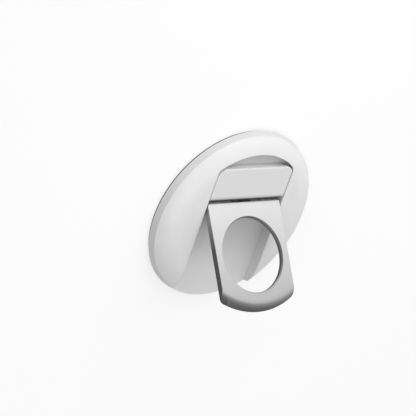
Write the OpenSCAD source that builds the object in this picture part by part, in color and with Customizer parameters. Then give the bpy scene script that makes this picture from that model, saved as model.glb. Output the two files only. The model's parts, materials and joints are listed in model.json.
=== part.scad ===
/* [Housing] */
// Diameter of the round housing
disc_d = 67.4; // [62:0.2:74]
// Height of the flat top above the phone
disc_h = 7.1; // [6.9:0.1:9]
// Width of the crown, from the flat top out to the foot of the side wall
crown_w = 8.7; // [8.3:0.1:9.5]
// Radius of the curve from the flat top out to the side wall
crown_r = 11.3; // [10.8:0.1:12.5]
// Angle at which the side wall leans in
side_draft = 10.5; // [6:0.5:13]
// Wall of the hollow housing
shell_wall = 1.3; // [1:0.1:1.5]
// Chamfer on the lower edge of the side wall
base_chamfer = 0.1; // [0.05:0.05:0.3]
// Angle between the stiffening ribs under the crown
rib_step = 24; // [15:1:45]
// Thickness of each rib
rib_t = 1; // [0.6:0.1:1.6]

/* [Channel] */
// Width of the housing on each side of the channel
side_w = 16.5; // [15.5:0.1:18]
// Width of the crown left beyond the round end of the recess
rim_w = 6.3; // [5.5:0.1:7]
// Corner radius where the straight sides meet the round end
recess_corner_r = 3; // [1.5:0.1:5]
// Radius of the rounded edges along the channel and the recess
edge_r = 0.3; // [0.15:0.05:0.6]
// Depth of the finger scoop beyond the hook plate
scoop_depth = 2.9; // [2.5:0.1:3.2]
// Skin under the channel floor
floor_skin = 0.5; // [0.4:0.05:1]

/* [Phone side] */
// Thickness of the soft face pad
pad_h = 0.75; // [0.4:0.05:1.2]
// How far the pad stays inside the rim
pad_inset = 0.5; // [0.2:0.1:1.5]
// Thickness of the magnet tray and its magnets
tray_h = 0.95; // [0.7:0.05:1.2]
// Thickness of the steel yoke ring behind the magnets
yoke_h = 0.3; // [0.2:0.05:0.5]
// Distance from the rim to the magnets
magnet_inset = 6.3; // [5.5:0.1:6.8]
// Radial width of the magnets
magnet_w = 4.2; // [3:0.1:4.6]
// Number of magnets in the ring
magnet_count = 16; // [8:2:24]
// Plastic left between one magnet and the next
magnet_gap = 0.7; // [0.4:0.1:1.5]
// Distance from the magnets to the solid hub inside them
hub_step = 1.2; // [0.8:0.1:1.6]

/* [Ring] */
// Thickness of the ring plate
ring_t = 2; // [1.6:0.1:2.2]
// Gap between each side of the ring and the channel wall
ring_side_gap = 0.6; // [0.3:0.1:1]
// How far the round lower end stays inside the rim, when folded
ring_end_gap = 1; // [0.9:0.1:2.5]
// Radius of the curve that the face rolls over at the lower end
ring_roll_r = 5.4; // [4.5:0.1:7]
// Upright edge left below that curve
ring_land = 0.15; // [0.1:0.05:0.3]
// Corner radius where the sides meet the round lower end
ring_corner_r = 2; // [1:0.1:4]
// Corner radius beside the hinge
ring_top_corner_r = 1.5; // [0.5:0.1:3]
// Metal on each side of the finger hole
ring_side_w = 3.23; // [2.8:0.01:5]
// Metal between the finger hole and the round lower end
ring_end_w = 6.68; // [5.5:0.02:9]
// Size of the softened edges of the ring
ring_edge = 0.4; // [0.1:0.05:0.6]
// Angle that the ring stands open at
ring_open = 43.3; // [0:0.1:90]
// How far the ring's hinge axis lies above the centre line of the housing
ring_axis_y = 5.83; // [5.2:0.05:6.2]
// Depth of the ring's hinge axis below the flat top
ring_axis_drop = 2.68; // [2.6:0.02:2.9]
// Distance from the hinge axis to the ring's upper edge, when folded
ring_heel = 0.47; // [0.2:0.01:0.6]
// Radius of the ring's hinge knuckles
ring_knuckle_r = 1.5; // [1.3:0.05:1.55]
// Radius of the ring's hinge pin
ring_pin_r = 0.8; // [0.6:0.05:1]

/* [Hook plate] */
// Gap between each side of the hook plate and the recess wall
hook_side_gap = 0.3; // [0.2:0.05:0.8]
// Thickness of the hook plate
hook_t = 1.6; // [1.4:0.05:1.8]
// Length of the finger scoop beyond the plate's upper edge
scoop_l = 5.3; // [4:0.1:6.5]
// Distance from the hinge axis to the plate's lower edge
hook_heel = 1.5; // [1.35:0.05:1.6]
// Radius of the plate's two upper corners
hook_corner_r = 3.2; // [2:0.1:5]
// Radius of the rounded edges of the plate
hook_edge = 0.5; // [0.2:0.05:0.7]
// Thickness of the lip that catches behind the lid
lip_t = 1.6; // [1.2:0.1:2]
// How far each end of the lip stays inside the plate's rounded corner
lip_inset = 0.8; // [0:0.1:3]
// Distance between the two hinge axes
axis_step = 5.47; // [5.3:0.01:5.9]
// Depth of the hook's hinge axis below the flat top
hook_axis_drop = 2.2; // [2.15:0.01:2.3]
// Radius of the hook's hinge knuckles
hook_knuckle_r = 1.3; // [1.1:0.05:1.35]
// Radius of the hook's hinge pin
hook_pin_r = 0.6; // [0.5:0.05:0.8]
// Thickness of the rubber grip under the plate
grip_h = 0.85; // [0.5:0.05:1]

/* [Hinge block] */
// Half width of the middle part that the hinge block's ears take up
ear_out_x = 8.9; // [8:0.1:10]
// Width of each ear
ear_w = 4.5; // [3.5:0.1:5]
// Width of each friction clip
clip_w = 3.4; // [2.5:0.1:3.8]
// Wall of the friction clips
clip_t = 0.5; // [0.35:0.05:0.6]
// Sheet left under the hinge block
pan_h = 1.05; // [0.8:0.05:1.2]
// Radius of the screw shanks
screw_r = 0.7; // [0.5:0.05:0.9]
// Radius of the screw heads
screw_head_r = 1.4; // [1.2:0.05:1.6]
// Height of the screw heads
screw_head_h = 0.5; // [0.3:0.05:0.6]

/* [Fits] */
// Running clearance between a pin and its bearing
run_gap = 0.05; // [0.03:0.01:0.08]
// Clearance between a placed piece and its pocket
seat_gap = 0.1; // [0.05:0.01:0.15]
// Clearance between hinge parts that pass each other
pass_gap = 0.1; // [0.08:0.01:0.12]
// Side clearance between one knuckle and the next ear
knuckle_gap = 0.25; // [0.15:0.05:0.4]
// Clearance under a part that closes onto its stop
stop_gap = 0.05; // [0.02:0.01:0.1]

/* [Hidden] */
$fn = 96;
cut = 1;
disc_r = disc_d / 2;
base_z = pad_h;
flat_r = disc_r - crown_w;
// Where two curves meet smoothly, one stands this much proud of the other, so that they cross
blend = 0.002;

tray_top_z = base_z + tray_h;
yoke_top_z = tray_top_z + yoke_h;
floor_z = yoke_top_z + floor_skin;
scoop_z = disc_h - scoop_depth;
pan_z = base_z + pan_h;
channel_x = disc_r - side_w;
channel_w = 2 * channel_x;
recess_r = disc_r - rim_w;
// Play between the magnet tray and the housing
tray_gap = 0.1;
// How far the yoke reaches past the magnets on each side
yoke_overlap = 0.6;
magnet_out_r = disc_r - magnet_inset;
magnet_in_r = magnet_out_r - magnet_w;
hub_r = magnet_in_r - hub_step;

ring_x = channel_x - ring_side_gap;
ring_end_r = disc_r - ring_end_gap;
hole_r = ring_x - ring_side_w;
ring_back_z = disc_h - ring_t;
ring_top_y = ring_axis_y + ring_heel;
ring_axis_z = disc_h - ring_axis_drop;
ring_sweep_r = norm([ring_heel, ring_axis_drop]);

hook_x = channel_x - hook_side_gap;
hook_axis_y = ring_axis_y + axis_step;
hook_axis_z = disc_h - hook_axis_drop;
hook_low_y = hook_axis_y - hook_heel;
hook_top_y = recess_r - scoop_l;
hook_under_z = disc_h - hook_t;
// Top of the block under the plate's heel
ledge_z = hook_axis_z - hook_heel - stop_gap;
lip_w = 2 * (hook_x - hook_corner_r - lip_inset);

ring_roll_c = [
    ring_end_r - sqrt(pow(ring_roll_r, 2) - pow(ring_roll_r - ring_t + ring_land, 2)),
    disc_h - ring_roll_r
];
hole_c = [0, ring_end_w + hole_r - ring_end_r];

// Length of the shoulder that the folded ring rests on
shoulder_l = 1.3;
// Wall between the block's pocket and the edge of the hub
hub_wall = 0.65;
pocket_front_y = ring_axis_y - ring_knuckle_r - shoulder_l;
pocket_x = ring_x + seat_gap;
pocket_back_y = sqrt(pow(hub_r - hub_wall, 2) - pow(pocket_x, 2));
recess_corner_c = corner_centre(channel_x, recess_r, recess_corner_r);

// Gap behind the hook's knuckle, up to the deck that carries on the floor of the scoop
deck_gap = 0.4;
deck_front_y = hook_axis_y + hook_knuckle_r + deck_gap;
// Straight wall left between the deck and the recess's corner
deck_wall_l = 0.3;
deck_back_y = recess_corner_c[1] - deck_wall_l;
// Gap between the ring's knuckle and the base under it
base_gap = 0.2;
// Gap between the ring's knuckle and the web behind it
web_gap = 0.17;
// How far the web reaches past the sweep of the ring's heel
web_reach = 0.05;

ear_in_x = ear_out_x - ear_w;
knuckle_in_x = ear_out_x + knuckle_gap;
// Metal left past the blind end of each pin's bore
pin_wall = 1;
// Sheet left under the feet of the clips
clip_floor = 0.5;
ring_foot_z = pan_z + clip_floor;
hook_foot_z = floor_z + clip_floor;
clip_mid_x = ear_in_x / 2;
// Where the clips are slit, and how wide
slit_angle = 50;
slit_w = 0.33;

// Metal left over the tip of each screw
screw_skin = 0.4;
// The lower two screws stand beside the ears, the upper two under the deck, inside the hub
screw_side = 4.2;
screw_low_y = hook_axis_y - 0.8;
screw_circle_r = hub_r - 2.2;
screw_angle = 56.3;
low_row = [pocket_x - screw_side, screw_low_y, ledge_z - screw_skin];
high_row = [
    screw_circle_r * cos(screw_angle),
    screw_circle_r * sin(screw_angle),
    scoop_z - screw_skin
];
// The place and the tip of each screw
screw_places = [for (side = [-1, 1], p = [low_row, high_row]) [side * p[0], p[1], p[2]]];

// Gaps from the rubber grip to the deck's edge and to the lip
grip_low_gap = 0.6;
grip_lip_gap = 0.2;
// Grooves across the rubber grip
groove_count = 3;
groove_w = 0.5;
groove_h = 0.3;

function wall_r(z, inset) = disc_r - inset - (z - base_z) * tan(side_draft);
function corner_centre(half_w, end_r, corner_r) =
    [half_w - corner_r, sqrt(pow(end_r + blend - corner_r, 2) - pow(half_w - corner_r, 2))];
function two_digits(i) = i < 10 ? str("0", i) : str(i);
function magnet_name(i) = str("magnet_", two_digits(i));

// Half section of the domed outside, or of its inside when it is inset by a wall
module crown_section(inset = 0) {
    top_z = disc_h - inset;
    difference() {
        polygon([
            [0, base_z],
            [wall_r(base_z, inset), base_z],
            [wall_r(top_z, inset), top_z],
            [0, top_z]
        ]);
        difference() {
            translate([flat_r, base_z - cut]) square([disc_r, disc_h + cut]);
            translate([flat_r, disc_h - crown_r]) circle(crown_r - inset + blend);
        }
    }
}

module dome(inset = 0) {
    rotate_extrude() crown_section(inset);
}

// A bar with a round end about the centre of the housing, and rounded corners beside it
module round_ended(half_w, end_r, corner_r, start_y) {
    c = corner_centre(half_w, end_r, corner_r);
    translate([-half_w, start_y]) square([2 * half_w, c[1] - start_y]);
    intersection() {
        circle(end_r);
        polygon([[0, 0], 2 * c, [-2 * c[0], 2 * c[1]]]);
    }
    for (side = [-1, 1]) translate([side * c[0], c[1]]) circle(corner_r);
}

module recess_outline(grow = 0) {
    round_ended(channel_x + grow, recess_r + grow, recess_corner_r + grow, -disc_r - cut);
}

// Half section of a cut that flares out over a rounded edge, past a wall at the given reach
module flare_section(reach, start = 0) {
    difference() {
        translate([start, disc_h - edge_r]) square([reach + edge_r - start, edge_r + cut]);
        translate([reach + edge_r, disc_h - edge_r]) circle(edge_r + blend);
    }
}

// The rounded edges along the channel and round the recess
module edge_flare() {
    c = recess_corner_c;
    translate([0, c[1], 0]) rotate([90, 0, 0]) linear_extrude(c[1] + disc_r + cut) {
        flare_section(channel_x, -cut);
        mirror([1, 0]) flare_section(channel_x, -cut);
    }
    for (side = [-1, 1]) translate([side * c[0], c[1], 0])
        rotate_extrude() flare_section(recess_corner_r);
    intersection() {
        rotate_extrude() flare_section(recess_r);
        linear_extrude(disc_h + 2 * cut) polygon([[0, 0], 2 * c, [-2 * c[0], 2 * c[1]]]);
    }
}

// A rod along X between two places
module x_rod(r, x0, x1) {
    translate([x0, 0, 0]) rotate([90, 0, 90]) cylinder(r = r, h = x1 - x0);
}

// A shape drawn in the YZ plane, carried along X between two places
module x_sweep(x0, x1) {
    translate([x0, 0, 0]) rotate([90, 0, 90]) linear_extrude(x1 - x0) children();
}

module at_ring_axis() {
    translate([0, ring_axis_y, ring_axis_z]) children();
}

module at_hook_axis() {
    translate([0, hook_axis_y, hook_axis_z]) children();
}

module opened_ring() {
    at_ring_axis() rotate([-ring_open, 0, 0])
        translate([0, -ring_axis_y, -ring_axis_z]) children();
}

// A rectangle with rounded corners, from its corner at the lower left
module rounded_square(size, r) {
    translate([r, 0]) square([size[0] - 2 * r, size[1]]);
    translate([0, r]) square([size[0], size[1] - 2 * r]);
    for (x = [r, size[0] - r], y = [r, size[1] - r]) translate([x, y]) circle(r);
}

// What the hinge block and the ring fold into
module channel_space() {
    translate([-channel_x, -disc_r - cut, floor_z])
        cube([channel_w, disc_r + cut + deck_back_y + seat_gap, disc_h]);
    translate([-pocket_x, pocket_front_y, pan_z])
        cube([2 * pocket_x, pocket_back_y - pocket_front_y, disc_h]);
    translate([0, 0, scoop_z]) linear_extrude(disc_h) recess_outline();
}

// The room under the crown, on each side of the channel, with ribs left standing in it
module shell_cavity() {
    difference() {
        intersection() {
            dome(shell_wall);
            translate([0, 0, yoke_top_z]) cylinder(r = disc_r, h = disc_h);
        }
        linear_extrude(disc_h) recess_outline(shell_wall);
        cylinder(r = hub_r, h = disc_h);
        for (a = [rib_step / 2 : rib_step : 360]) rotate(a)
            translate([hub_r - cut, -rib_t / 2, 0]) cube([disc_r, rib_t, disc_h]);
    }
}

module rear_housing() {
    color("whitesmoke") difference() {
        dome();
        channel_space();
        edge_flare();
        shell_cavity();
        // Seat of the magnet tray and its yoke ring
        translate([0, 0, base_z - cut]) difference() {
            cylinder(r = disc_r - shell_wall, h = yoke_top_z - base_z + cut);
            cylinder(r = hub_r, h = disc_h);
        }
        for (p = screw_places) translate([p[0], p[1], base_z - cut]) {
            cylinder(r = screw_r + seat_gap, h = disc_h);
            cylinder(r = screw_head_r + seat_gap, h = screw_head_h + cut);
        }
        rotate_extrude() polygon([
            [disc_r - base_chamfer, base_z],
            [disc_r - base_chamfer, base_z - cut],
            [disc_r + cut, base_z - cut],
            [disc_r + cut, base_z + base_chamfer],
            [disc_r, base_z + base_chamfer]
        ]);
    }
}

module face_pad() {
    color("dimgray") cylinder(r = disc_r - pad_inset, h = pad_h);
}

// One magnet's arc, grown all round by a clearance
module magnet_arc(i, grow, h) {
    mid_r = magnet_in_r + magnet_w / 2;
    step = 360 / magnet_count;
    half = step / 2 - (magnet_gap / 2 - grow) / mid_r * 180 / PI;
    rotate(step * (i - 1) - half) rotate_extrude(angle = 2 * half)
        translate([magnet_in_r - grow, 0]) square([magnet_w + 2 * grow, h]);
}

module magnet(i) {
    color("silver") translate([0, 0, base_z]) magnet_arc(i, 0, tray_h);
}

module magnet_tray() {
    color("slategray") translate([0, 0, base_z]) difference() {
        cylinder(r = disc_r - shell_wall - tray_gap, h = tray_h);
        translate([0, 0, -cut]) cylinder(r = hub_r + tray_gap, h = tray_h + 2 * cut);
        for (i = [1 : magnet_count]) translate([0, 0, -cut])
            magnet_arc(i, run_gap, tray_h + 2 * cut);
    }
}

module yoke_ring() {
    color("gray") translate([0, 0, tray_top_z]) difference() {
        cylinder(r = magnet_out_r + yoke_overlap, h = yoke_h);
        translate([0, 0, -cut]) cylinder(r = magnet_in_r - yoke_overlap, h = yoke_h + 2 * cut);
    }
}

// Side view of the hinge block between its ears
module block_section() {
    front_y = pocket_front_y + seat_gap;
    base_top_z = ring_axis_z - ring_knuckle_r - base_gap;
    web_front_y = ring_axis_y + ring_knuckle_r + web_gap;
    web_back_y = ring_axis_y + ring_sweep_r + web_reach;
    web_top_z = ring_axis_z - ring_heel - stop_gap;
    polygon([
        [front_y, pan_z], [pocket_back_y - seat_gap, pan_z],
        [pocket_back_y - seat_gap, floor_z], [deck_back_y, floor_z],
        [deck_back_y, scoop_z], [deck_front_y, scoop_z],
        [deck_front_y, ledge_z], [web_back_y, ledge_z],
        [web_back_y, web_top_z], [web_front_y, web_top_z],
        [web_front_y, base_top_z], [front_y, base_top_z]
    ]);
}

// Side view of the ears, with the shoulder that the folded ring rests on
module ear_section() {
    translate([ring_axis_y, ring_axis_z]) circle(ring_knuckle_r);
    translate([hook_axis_y, hook_axis_z]) circle(hook_knuckle_r);
    polygon([
        [pocket_front_y + seat_gap, pan_z],
        [ring_axis_y + ring_knuckle_r, pan_z],
        [ring_axis_y + ring_knuckle_r, ring_axis_z],
        [ring_axis_y, ring_axis_z],
        [ring_axis_y, ring_back_z - stop_gap],
        [pocket_front_y + seat_gap, ring_back_z - stop_gap]
    ]);
    translate([hook_axis_y - hook_knuckle_r, pan_z])
        square([2 * hook_knuckle_r, hook_axis_z - pan_z]);
}

module hinge_block() {
    base_x = pocket_x - seat_gap;
    color("darkgray") difference() {
        union() {
            x_sweep(-base_x, base_x) block_section();
            for (x = [-ear_out_x, ear_in_x]) x_sweep(x, x + ear_w) ear_section();
        }
        at_ring_axis() x_rod(ring_pin_r + run_gap, -disc_r, disc_r);
        at_hook_axis() x_rod(hook_pin_r + run_gap, -disc_r, disc_r);
        for (p = screw_places) translate([p[0], p[1], 0])
            cylinder(r = screw_r + run_gap, h = p[2] + seat_gap);
        for (side = [-1, 1])
            clip_slot(side * clip_mid_x, ring_axis_y, ring_foot_z, ring_axis_z - ring_pin_r);
        clip_slot(0, hook_axis_y, hook_foot_z, hook_axis_z - hook_pin_r);
    }
}

// Slot in the block that holds the foot of a friction clip
module clip_slot(x, y, foot_z, top_z) {
    translate([x - clip_w / 2 - run_gap, y - clip_t / 2 - run_gap, foot_z])
        cube([clip_w + 2 * run_gap, clip_t + 2 * run_gap, top_z - foot_z]);
}

module block_screws() {
    color("silver") for (p = screw_places) translate([p[0], p[1], base_z]) {
        cylinder(r = screw_head_r, h = screw_head_h);
        cylinder(r = screw_r, h = p[2] - base_z);
    }
}

// A split band round a pin, with a foot that goes down into the block
module friction_clip(axis_y, axis_z, pin_r, foot_z) {
    band_r = pin_r + run_gap / 2;
    x_sweep(-clip_w / 2, clip_w / 2) {
        translate([axis_y, axis_z]) difference() {
            circle(band_r + clip_t);
            circle(band_r);
            rotate(slit_angle) translate([0, -slit_w / 2]) square([2 * band_r, slit_w]);
        }
        translate([axis_y - clip_t / 2, foot_z])
            square([clip_t, axis_z - band_r - run_gap - foot_z]);
    }
}

module ring_clip(side) {
    color("dimgray") translate([side * clip_mid_x, 0, 0])
        friction_clip(ring_axis_y, ring_axis_z, ring_pin_r, ring_foot_z);
}

module hook_clip() {
    color("dimgray") friction_clip(hook_axis_y, hook_axis_z, hook_pin_r, hook_foot_z);
}

module ring_plan() {
    difference() {
        mirror([0, 1]) round_ended(ring_x, ring_end_r, ring_corner_r, -ring_top_y);
        for (side = [-1, 1]) translate([side * ring_x, ring_top_y]) difference() {
            square(2 * ring_top_corner_r, center = true);
            translate([-side * ring_top_corner_r, -ring_top_corner_r]) circle(ring_top_corner_r);
        }
    }
}

// Half section of the ring's face, which rolls over at the lower end
module roll_section() {
    difference() {
        square([ring_end_r + cut, disc_h]);
        difference() {
            translate([ring_roll_c[0], -cut]) square([ring_end_r, disc_h + 2 * cut]);
            translate(ring_roll_c) circle(ring_roll_r + blend);
        }
    }
}

// The ring as it lies folded, with its knuckles below its upper edge
module folded_ring() {
    difference() {
        union() {
            intersection() {
                rotate_extrude() roll_section();
                translate([0, 0, ring_back_z]) linear_extrude(ring_t + cut) ring_plan();
                translate([0, disc_r, 0]) rotate([90, 0, 0]) linear_extrude(2 * disc_r)
                    translate([-ring_x, 0]) rounded_square([2 * ring_x, disc_h], ring_edge);
                x_sweep(-ring_x, ring_x) translate([ring_top_y - 2 * disc_r, 0])
                    rounded_square([2 * disc_r, disc_h], ring_edge);
            }
            at_ring_axis() for (x = [-ring_x + seat_gap, knuckle_in_x])
                x_rod(ring_knuckle_r, x, x + ring_x - seat_gap - knuckle_in_x);
        }
        translate([hole_c[0], hole_c[1], 0]) {
            cylinder(r = hole_r, h = disc_h + cut);
            translate([0, 0, disc_h - ring_edge])
                cylinder(r1 = hole_r, r2 = hole_r + ring_edge + cut, h = ring_edge + cut);
            translate([0, 0, ring_back_z - cut])
                cylinder(r1 = hole_r + ring_edge + cut, r2 = hole_r, h = ring_edge + cut);
        }
        at_ring_axis() {
            x_rod(ring_knuckle_r + pass_gap, -ear_out_x - pass_gap, ear_out_x + pass_gap);
            x_rod(ring_pin_r, -ring_x + pin_wall, disc_r);
        }
    }
}

module grip_ring() {
    color("gainsboro") opened_ring() folded_ring();
}

module ring_pin() {
    color("silver") at_ring_axis() x_rod(ring_pin_r, -ring_x + pin_wall, ring_x - seat_gap);
}

// The hook plate's outline, with rounded upper corners
module hook_plan() {
    c = [hook_x - hook_corner_r, hook_top_y - hook_corner_r];
    translate([-hook_x, hook_low_y]) square([2 * hook_x, c[1] - hook_low_y]);
    translate([-c[0], hook_low_y]) square([2 * c[0], hook_top_y - hook_low_y]);
    for (side = [-1, 1]) translate([side * c[0], c[1]]) circle(hook_corner_r);
}

module hook_plate() {
    lip_low_z = scoop_z + stop_gap;
    color("whitesmoke") difference() {
        union() {
            intersection() {
                translate([0, 0, hook_under_z]) linear_extrude(hook_t) hook_plan();
                x_sweep(-hook_x, hook_x) translate([hook_low_y, 0])
                    rounded_square([hook_top_y - hook_low_y, disc_h], hook_edge);
                translate([0, disc_r, 0]) rotate([90, 0, 0]) linear_extrude(2 * disc_r)
                    translate([-hook_x, 0]) rounded_square([2 * hook_x, disc_h], hook_edge);
            }
            // Lip along the upper edge
            translate([-lip_w / 2, hook_top_y - lip_t, lip_low_z])
                cube([lip_w, lip_t, hook_under_z - lip_low_z + hook_t / 2]);
            at_hook_axis() for (x = [-hook_x + seat_gap, knuckle_in_x])
                x_rod(hook_knuckle_r, x, x + hook_x - seat_gap - knuckle_in_x);
        }
        at_hook_axis() {
            x_rod(hook_pin_r, -hook_x + pin_wall, disc_r);
            x_rod(hook_knuckle_r + pass_gap, -ear_out_x - pass_gap, ear_out_x + pass_gap);
            translate([-ear_out_x - pass_gap, -2 * hook_heel, 0])
                cube([2 * (ear_out_x + pass_gap), 2 * hook_heel, hook_knuckle_r + pass_gap]);
        }
    }
}

module hook_pin() {
    color("silver") at_hook_axis() x_rod(hook_pin_r, -hook_x + pin_wall, hook_x - seat_gap);
}

// Soft strip under the plate, which rests on the edge of the lid
module hook_grip() {
    low_y = deck_front_y + grip_low_gap;
    strip_l = hook_top_y - lip_t - grip_lip_gap - low_y;
    color("dimgray") translate([-lip_w / 2, low_y, hook_under_z - grip_h]) difference() {
        cube([lip_w, strip_l, grip_h]);
        for (k = [1 : groove_count])
            translate([-cut, k * strip_l / (groove_count + 1) - groove_w / 2, groove_h - grip_h])
                cube([lip_w + 2 * cut, groove_w, grip_h]);
    }
}

rear_housing();
face_pad();
magnet_tray();
yoke_ring();
hinge_block();
block_screws();
ring_clip(-1);  // ring_clip_left
ring_clip(1);  // ring_clip_right
hook_clip();
grip_ring();
ring_pin();
hook_plate();
hook_pin();
hook_grip();
for (i = [1 : magnet_count]) magnet(i);
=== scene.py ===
import json
import math

import bmesh
import bpy
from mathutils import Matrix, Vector

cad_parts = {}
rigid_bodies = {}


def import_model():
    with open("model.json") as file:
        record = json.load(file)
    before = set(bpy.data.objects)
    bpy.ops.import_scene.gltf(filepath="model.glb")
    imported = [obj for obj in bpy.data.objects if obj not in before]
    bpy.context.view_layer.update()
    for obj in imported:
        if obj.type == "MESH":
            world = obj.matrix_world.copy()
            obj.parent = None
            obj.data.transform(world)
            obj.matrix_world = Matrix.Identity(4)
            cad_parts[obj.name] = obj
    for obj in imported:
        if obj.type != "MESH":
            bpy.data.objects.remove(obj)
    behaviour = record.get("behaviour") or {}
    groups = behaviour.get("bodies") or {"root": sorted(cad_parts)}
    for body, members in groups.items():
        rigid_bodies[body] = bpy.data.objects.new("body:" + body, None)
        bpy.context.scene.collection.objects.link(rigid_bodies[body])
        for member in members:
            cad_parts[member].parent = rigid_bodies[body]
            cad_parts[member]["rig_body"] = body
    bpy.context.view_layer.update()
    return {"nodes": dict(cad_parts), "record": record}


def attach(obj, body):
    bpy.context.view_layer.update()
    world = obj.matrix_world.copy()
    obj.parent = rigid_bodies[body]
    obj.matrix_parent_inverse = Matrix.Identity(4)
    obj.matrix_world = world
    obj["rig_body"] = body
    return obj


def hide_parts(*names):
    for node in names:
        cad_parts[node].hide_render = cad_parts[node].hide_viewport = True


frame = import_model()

MM = 0.001
NODES = frame["nodes"]


# Shader helpers

def new_material(name):
    """An empty node material with its output."""
    material = bpy.data.materials.new(name)
    material.use_nodes = True
    tree = material.node_tree
    tree.nodes.clear()
    return material, tree, tree.nodes.new("ShaderNodeOutputMaterial")


def node(tree, kind, **inputs):
    """A shader node with its inputs set by name, or by number as i0 and i1.

    A value may be a number, a colour or another node's socket.
    """
    made = tree.nodes.new(kind)
    for key, value in inputs.items():
        by_number = key[0] == "i" and key[1:].isdigit()
        socket = made.inputs[int(key[1:]) if by_number else key.replace("_", " ")]
        if isinstance(value, bpy.types.NodeSocket):
            tree.links.new(value, socket)
        else:
            socket.default_value = value
    return made


def grey(value):
    """The colour of a grey."""
    return (value, value, value, 1)


def own(tree, output):
    """A coordinate of the object's own frame: Object is the point's place, Normal the surface's direction.

    For the sky, Generated is the direction that is looked in.
    """
    return tree.nodes.new("ShaderNodeTexCoord").outputs[output]


def noise(tree, scale, detail=3.0):
    """Noise over the object's own coordinates, with scale in patches per metre."""
    made = node(tree, "ShaderNodeTexNoise", Vector=own(tree, "Object"), Scale=scale, Detail=detail)
    return made.outputs["Fac"]


def curve(tree, factor, *stops):
    """A grey that follows the factor through stops, each a place from 0 to 1 and its grey."""
    made = node(tree, "ShaderNodeValToRGB", Fac=factor)
    elements = made.color_ramp.elements
    elements[0].position, elements[0].color = stops[0][0], grey(stops[0][1])
    elements[1].position, elements[1].color = stops[-1][0], grey(stops[-1][1])
    for place, value in stops[1:-1]:
        elements.new(place).color = grey(value)
    return made.outputs["Color"]


def spread(tree, factor, low, high):
    """The factor, held within 0..1, carried to low..high."""
    made = node(tree, "ShaderNodeMapRange", Value=factor)
    made.inputs["To Min"].default_value, made.inputs["To Max"].default_value = low, high
    return made.outputs["Result"]


def maths(tree, operation, a, b=0.0):
    """The result of one operation on one or two numbers."""
    made = node(tree, "ShaderNodeMath", i0=a, i1=b)
    made.operation = operation
    return made.outputs[0]


def dot(tree, vector, direction):
    """How far a vector reaches along a direction."""
    made = node(tree, "ShaderNodeVectorMath", i0=vector, i1=direction)
    made.operation = "DOT_PRODUCT"
    return made.outputs["Value"]


def times(tree, tone, *factors):
    """The tone multiplied by greys."""
    for factor in factors:
        made = node(tree, "ShaderNodeVectorMath", i0=tone, i1=factor)
        made.operation = "MULTIPLY"
        tone = made.outputs["Vector"]
    return tone


def place_xyz(tree):
    """The point's place in the object's own frame, as three numbers."""
    return node(tree, "ShaderNodeSeparateXYZ", Vector=own(tree, "Object")).outputs


def where(tree, inside, factor):
    """The factor where inside is 1, and 1 where it is 0."""
    change = maths(tree, "SUBTRACT", factor, 1)
    return maths(tree, "ADD", 1, maths(tree, "MULTIPLY", inside, change))


# Shade that is painted by place

# Directions of the opened ring: out of its face, and from the hinge towards its free end
RING_OPEN = math.radians(43.3)
RING_FACE = (0, math.sin(RING_OPEN), math.cos(RING_OPEN))
RING_END = (0, -math.cos(RING_OPEN), math.sin(RING_OPEN))
# How much the surface's turn towards the ring's end, and to the right, counts beside its turn out of the face
END_WEIGHT, RIGHT_WEIGHT = 0.9, 0.8
# Length of the shading along the ring, and how far from the middle its outer sides begin
RING_REACH = 40 * MM
RING_SIDE_X = 14.3 * MM
# How much of its tone the ring keeps where its painted shade is darkest, before the factor of its outer sides
RING_DARK = 0.22
# The hook plate's barrels lie below this height and in front of this line, and keep this much of their tone under
# the painted shade
BARREL_Z = 5.45 * MM
BARREL_Y = 12.75 * MM
BARREL_DARK = 0.5
# The stops of the shading at the plate's foot are shares of this length from the middle of the housing
FOOT_REACH = 20 * MM
# The channel and the recess: half width, round end and upper edge
RECESS_X = 17.25 * MM
RECESS_R = 27.42 * MM
RECESS_Z = 6.8 * MM
# Length of the shading along the channel, from its open end to the middle of the housing, in metres
CHANNEL_REACH = 1 / 30


def ring_shadow(tree, tone):
    """Painted shade and painted reflection: darkens the ring's sides, the wall of its hole and its rolled end by
    the way they face, and its face slowly towards the free end.
    """
    facing = maths(tree, "ABSOLUTE", dot(tree, own(tree, "Normal"), RING_FACE))
    towards_end = dot(tree, own(tree, "Normal"), RING_END)
    facing = maths(tree, "SUBTRACT", facing, maths(tree, "MULTIPLY", towards_end, END_WEIGHT))
    to_the_right = dot(tree, own(tree, "Normal"), (1, 0, 0))
    facing = maths(tree, "ADD", facing, maths(tree, "MULTIPLY", to_the_right, RIGHT_WEIGHT))
    edge = curve(tree, facing, (0.0, 1), (0.35, 0.92), (0.6, 0.65), (0.85, 0))
    along = maths(tree, "MULTIPLY", dot(tree, own(tree, "Object"), RING_END), 1 / RING_REACH)
    outer = maths(tree, "GREATER_THAN", maths(tree, "ABSOLUTE", place_xyz(tree)["X"]), RING_SIDE_X)
    side = where(tree, outer, curve(tree, along, (0.1, 2.0), (0.38, 0.55)))
    dark = maths(tree, "MULTIPLY", side, RING_DARK)
    return times(tree, tone, where(tree, edge, dark), curve(tree, along, (0.0, 1), (0.85, 0.66)))


def plate_shadow(tree, tone):
    """Painted shade: darkens the hinge barrels, the plate's foot and slightly the lip that faces the recess."""
    place = place_xyz(tree)
    low = maths(tree, "LESS_THAN", place["Z"], BARREL_Z)
    near = maths(tree, "LESS_THAN", place["Y"], BARREL_Y)
    barrel = where(tree, maths(tree, "MULTIPLY", low, near), BARREL_DARK)
    lip = curve(tree, dot(tree, own(tree, "Normal"), (0, 1, 0)), (0.25, 1), (0.6, 0.92))
    foot = curve(tree, maths(tree, "MULTIPLY", place["Y"], 1 / FOOT_REACH), (0.49, 0.6), (0.56, 1))
    return times(tree, tone, barrel, lip, foot)


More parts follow.
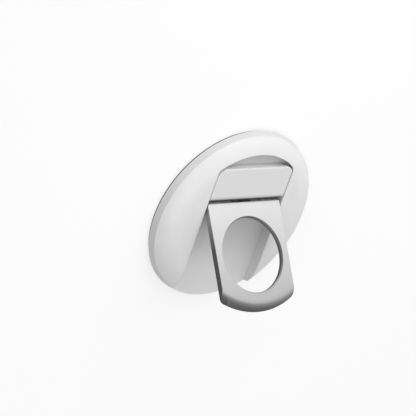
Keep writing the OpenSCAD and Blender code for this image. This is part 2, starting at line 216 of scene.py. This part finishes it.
def recess_shadow(tree, tone):
    """Painted shade: darkens the channel and the recess behind the plate slightly, most where they are deepest.
    """
    place = place_xyz(tree)
    between = maths(tree, "LESS_THAN", maths(tree, "ABSOLUTE", place["X"]), RECESS_X)
    below = maths(tree, "LESS_THAN", place["Z"], RECESS_Z)
    flat = node(tree, "ShaderNodeCombineXYZ", X=place["X"], Y=place["Y"])
    radius = node(tree, "ShaderNodeVectorMath", i0=flat.outputs[0])
    radius.operation = "LENGTH"
    round_end = maths(tree, "LESS_THAN", radius.outputs["Value"], RECESS_R)
    run = maths(tree, "MAXIMUM", round_end, maths(tree, "LESS_THAN", place["Y"], 0))
    inside = maths(tree, "MULTIPLY", maths(tree, "MULTIPLY", between, below), run)
    along = maths(tree, "ADD", maths(tree, "MULTIPLY", place["Y"], 1 / CHANNEL_REACH), 1)
    depth = curve(tree, spread(tree, along, 0, 1), (0.5, 0.95), (0.95, 0.76))
    return times(tree, tone, where(tree, inside, depth))


# Materials

# Patches per metre of the tone, the gloss and the grain
TONE_SCALE, GLOSS_SCALE, GRAIN_SCALE = 140, 900, 9000
GLOSS_VARY = 0.12
GRAIN_DEPTH, GRAIN_STRENGTH = 0.02 * MM, 0.6


def moulded(name, shade, vary, roughness, metallic=0.0, shadow=None):
    """Satin plastic, rubber or metal: a faint change of tone, uneven gloss, a fine grain, and painted shade where
    a shadow is given.
    """
    material, tree, out = new_material(name)
    patches = noise(tree, TONE_SCALE)
    tone = curve(tree, patches, (0.3, shade * (1 - vary)), (0.7, min(shade * (1 + vary), 1)))
    if shadow:
        tone = shadow(tree, tone)
    shine = noise(tree, GLOSS_SCALE)
    gloss = spread(tree, shine, roughness * (1 - GLOSS_VARY), roughness * (1 + GLOSS_VARY))
    grain = noise(tree, GRAIN_SCALE, detail=2.0)
    bump = node(tree, "ShaderNodeBump", Height=grain, Distance=GRAIN_DEPTH, Strength=GRAIN_STRENGTH)
    skin = node(
        tree, "ShaderNodeBsdfPrincipled",
        Base_Color=tone, Roughness=gloss, Normal=bump.outputs["Normal"], Metallic=metallic
    )
    tree.links.new(skin.outputs["BSDF"], out.inputs["Surface"])
    return material


MATERIALS = {
    # The housing, the plate and the ring carry painted shade in their tone, the ring also painted reflection
    "housing": moulded("satin_white", 0.7, 0.01, 0.42, shadow=recess_shadow),
    "plate": moulded("satin_pale", 0.67, 0.01, 0.4, shadow=plate_shadow),
    "ring_metal": moulded("satin_silver", 0.64, 0.015, 0.38, metallic=0.5, shadow=ring_shadow),
    "pad": moulded("silicone", 0.035, 0.1, 0.75),
    "grip": moulded("rubber", 0.04, 0.1, 0.8),
    "tray": moulded("tray_plastic", 0.07, 0.05, 0.5),
    "block": moulded("cast_grey", 0.45, 0.05, 0.5, metallic=0.5),
    "steel": moulded("plain_steel", 0.55, 0.03, 0.3, metallic=1.0),
    "spring_steel": moulded("spring_steel", 0.35, 0.05, 0.35, metallic=1.0),
    "magnet": moulded("nickel", 0.6, 0.03, 0.25, metallic=1.0),
}


def dress_nodes():
    """Every CAD node takes the material of its slot in the record."""
    for part in frame["record"]["subparts"]:
        piece = NODES[part["node"]]
        piece.data.materials.clear()
        piece.data.materials.append(MATERIALS[part["material_slot"]])


# Housing, in millimetres

# The crown as the CAD has it: the flat top, and the curve out and down to its crease with the side
TOP_Z, FLAT_R, CREASE_R, CREASE_Z, CROWN_R = 7.1, 25.0, 33.17, 3.61, 11.3
# Its wings beside the channel, of which the photograph shows the left one fuller towards its end than that curve:
# the height that they rise from, the channel's wall, the line that they lie beyond, and the crease at their ends
WING_FOOT_Z, WING_X, WING_Y, WING_END_R, WING_END_Z = 2.9, 17.15, -8, 32.6, 4.7
# Angles from the channel's middle line: the wing begins to fill out, and it is at its fullest
WING_START, WING_FULL = math.radians(62), math.radians(35.5)
# How gently the wing begins to fill out
WING_EASE = 2.2
# Points nearer to each other than this are joined
WELD = 0.002
# Longest edge of the wing's finer faces, and how many times long edges are split
FINE_EDGE, SPLITS = 0.9, 4
# How near to the crown a point counts as on it, and the angle from which edges stay sharp
ON_CROWN = 0.12
SHARP = math.radians(25)


def crown_z(r):
    """Height of the crown at a distance from the middle."""
    out = min(max(r - FLAT_R, 0), CREASE_R - FLAT_R)
    return TOP_Z - CROWN_R + math.sqrt(CROWN_R ** 2 - out ** 2)


def at_wing(place):
    """Whether a point lies on a wing, or just beside it."""
    x, y, z = place
    return y < WING_Y and abs(x) > WING_X and math.hypot(x, y) > FLAT_R - 1 and z > WING_FOOT_Z - 0.5


def fuller_wing(x, y, z):
    """Where a point of the housing goes so that its wings are fuller towards their ends. x never changes."""
    r = math.hypot(x, y)
    if abs(x) < WING_X or y > 0 or r < FLAT_R or z <= WING_FOOT_Z:
        return x, y, z
    share = (WING_START - math.atan2(abs(x), -y)) / (WING_START - WING_FULL)
    share = min(max(share, 0), 1) ** WING_EASE
    along = min((r - FLAT_R) / (CREASE_R - FLAT_R), 1)
    top = crown_z(r)
    level = min(max((z - WING_FOOT_Z) / (top - WING_FOOT_Z), 0), 1)
    drop = (TOP_Z - top) / (TOP_Z - CREASE_Z) * (TOP_Z - WING_END_Z)
    new_r = r + share * level * (FLAT_R + along * (WING_END_R - FLAT_R) - r)
    new_z = z + share * level * (TOP_Z - drop - top)
    return x, -math.sqrt(max(new_r ** 2 - x ** 2, 0)), new_z


def make_finer(form):
    """Splits the long edges at the wings until they are short."""
    for _ in range(SPLITS):
        long_edges = [
            edge for edge in form.edges
            if edge.calc_length() > FINE_EDGE * MM and any(at_wing(v.co / MM) for v in edge.verts)
        ]
        bmesh.ops.subdivide_edges(form, edges=long_edges, cuts=1, use_grid_fill=True)
        bmesh.ops.triangulate(form, faces=[face for face in form.faces if len(face.verts) > 3])


def make_housing():
    """The CAD housing with finer faces at the wings, which are then made fuller."""
    cad = NODES["rear_housing"]
    mesh = cad.data.copy()
    form = bmesh.new()
    form.from_mesh(mesh)
    bmesh.ops.remove_doubles(form, verts=form.verts, dist=WELD * MM)
    make_finer(form)
    for v in form.verts:
        x, y, z = v.co / MM
        r = math.hypot(x, y)
        if at_wing((x, y, z)) and abs(z - crown_z(r)) < ON_CROWN and r < CREASE_R:
            z = crown_z(r)
        v.co = Vector(fuller_wing(x, y, z)) * MM
    form.normal_update()
    for face in form.faces:
        face.smooth = True
    for edge in form.edges:
        edge.smooth = len(edge.link_faces) == 2 and edge.calc_face_angle() < SHARP
    form.to_mesh(mesh)
    form.free()
    mesh.attributes.remove(mesh.attributes["custom_normal"])
    piece = bpy.data.objects.new("housing", mesh)
    bpy.context.scene.collection.objects.link(piece)
    piece.matrix_world = cad.matrix_world
    weighted = piece.modifiers.new("normals", "WEIGHTED_NORMAL")
    weighted.keep_sharp = True
    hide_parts("rear_housing")
    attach(piece, cad["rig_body"])


# Stage

# Size of the floor, and how far it lies under the pad, so that the two faces don't share one plane
FLOOR_SIZE = 6
FLOOR_GAP = 0.05 * MM
# The floor's own grey, and the light that is added to it where the camera sees it
FLOOR_GREY, FLOOR_GLOW = 0.3, 0.68
# Mean strength of the sky, and how much it grows along each axis
SKY_STRENGTH = 0.93
SKY_SLOPE = (0, 0.52, -0.25)


def white_to_camera(tree, surface, out, glow):
    """Adds light of its own for the camera, for reflections and for what is seen through glass."""
    path = tree.nodes.new("ShaderNodeLightPath").outputs
    seen = maths(tree, "MAXIMUM", path["Is Camera Ray"], path["Is Glossy Ray"])
    seen = maths(tree, "MAXIMUM", seen, path["Is Transmission Ray"])
    strength = maths(tree, "MULTIPLY", seen, glow)
    light = node(tree, "ShaderNodeEmission", Color=grey(1), Strength=strength)
    both = node(tree, "ShaderNodeAddShader", i0=surface, i1=light.outputs[0])
    tree.links.new(both.outputs[0], out.inputs["Surface"])


def make_floor():
    """A plain pale floor, which keeps the shadow and looks white."""
    material, tree, out = new_material("pale_floor")
    body = node(tree, "ShaderNodeBsdfDiffuse", Color=grey(FLOOR_GREY), Roughness=0.5)
    white_to_camera(tree, body.outputs[0], out, FLOOR_GLOW)
    bpy.ops.mesh.primitive_plane_add(size=FLOOR_SIZE, location=(0, 0, -FLOOR_GAP))
    floor = bpy.context.object
    floor.name = "floor"
    floor.data.materials.append(material)


def area_light(name, place, size, power):
    """A round lamp that shines on the middle of the housing."""
    data = bpy.data.lights.new(name, "AREA")
    data.shape, data.size, data.energy = "DISK", size, power
    lamp = bpy.data.objects.new(name, data)
    bpy.context.scene.collection.objects.link(lamp)
    lamp.location = place
    lamp.rotation_euler = (-Vector(place)).to_track_quat("-Z", "Y").to_euler()


def make_lights():
    """A soft sky that is brighter on the hook plate's side, and two lamps."""
    world = bpy.data.worlds.new("studio")
    bpy.context.scene.world = world
    world.use_nodes = True
    tree = world.node_tree
    slope = dot(tree, own(tree, "Generated"), SKY_SLOPE)
    sky = tree.nodes["Background"]
    sky.inputs["Color"].default_value = grey(1)
    tree.links.new(maths(tree, "ADD", slope, SKY_STRENGTH), sky.inputs["Strength"])
    area_light("key", (0, 0.36, 0.15), 0.25, 0.5)
    area_light("fill", (-0.1, -0.1, 0.5), 0.3, 0.45)


def make_camera():
    """Looks at the housing from the photograph's side, with the picture rolled as it is there."""
    data = bpy.data.cameras.new("camera")
    data.lens, data.sensor_width = 180, 36
    camera = bpy.data.objects.new("camera", data)
    bpy.context.scene.collection.objects.link(camera)
    camera.location = (-0.47314, 0.31716, 0.46752)
    camera.rotation_euler = [math.radians(angle) for angle in (-39.321, -34.098, 21.408)]
    bpy.context.scene.camera = camera
    bpy.context.scene.view_settings.view_transform = "Standard"


make_camera()
make_lights()
make_floor()
dress_nodes()
make_housing()
